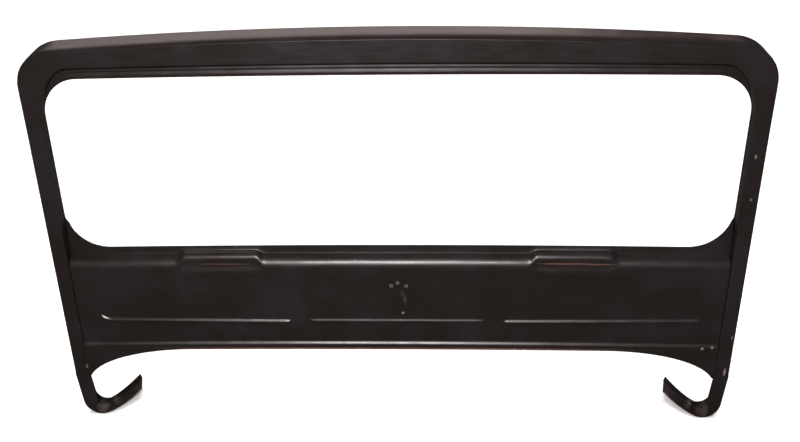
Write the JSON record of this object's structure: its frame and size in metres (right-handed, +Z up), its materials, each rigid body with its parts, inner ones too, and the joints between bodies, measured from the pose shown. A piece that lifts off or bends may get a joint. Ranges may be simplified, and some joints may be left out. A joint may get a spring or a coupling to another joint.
{
  "type": "windshield frame",
  "caption": "Pressed-steel windshield frame: box-section header and pillars round a wide window opening, ribbed lower panel, arched lower edge and hooked feet.",
  "frame": {"origin": "centre of the whole frame's bounding box", "axes": "+Z up, +X to the right seen from the cabin, +Y toward the front of the vehicle; the cabin side faces -Y"},
  "size_m": [1.489, 0.12, 0.884],
  "materials": {
    "black_coat": "semi-gloss black electro-coat",
    "inner_steel": "satin black electro-coat inside the sections",
    "bare_steel": "dull zinc-plated weld nuts"
  },
  "bodies": {
    "root": {"corner_gusset_left": "inner_steel", "corner_gusset_right": "inner_steel", "foot_doubler_left": "inner_steel", "foot_doubler_right": "inner_steel", "foot_left": "black_coat", "foot_right": "black_coat", "header_inner": "black_coat", "header_outer": "black_coat", "header_reinforcement": "inner_steel", "hinge_nut_lower_left": "bare_steel", "hinge_nut_lower_right": "bare_steel", "hinge_nut_upper_left": "bare_steel", "hinge_nut_upper_right": "bare_steel", "hinge_plate_left": "inner_steel", "hinge_plate_right": "inner_steel", "lower_inner_panel": "black_coat", "lower_outer_panel": "black_coat", "pillar_inner_left": "black_coat", "pillar_inner_right": "black_coat", "pillar_outer_left": "black_coat", "pillar_outer_right": "black_coat", "pillar_reinforcement_left": "inner_steel", "pillar_reinforcement_right": "inner_steel", "screw_nut_left": "bare_steel", "screw_nut_middle": "bare_steel", "screw_nut_right": "bare_steel", "screw_plate": "inner_steel"}
  },
  "joints": []
}
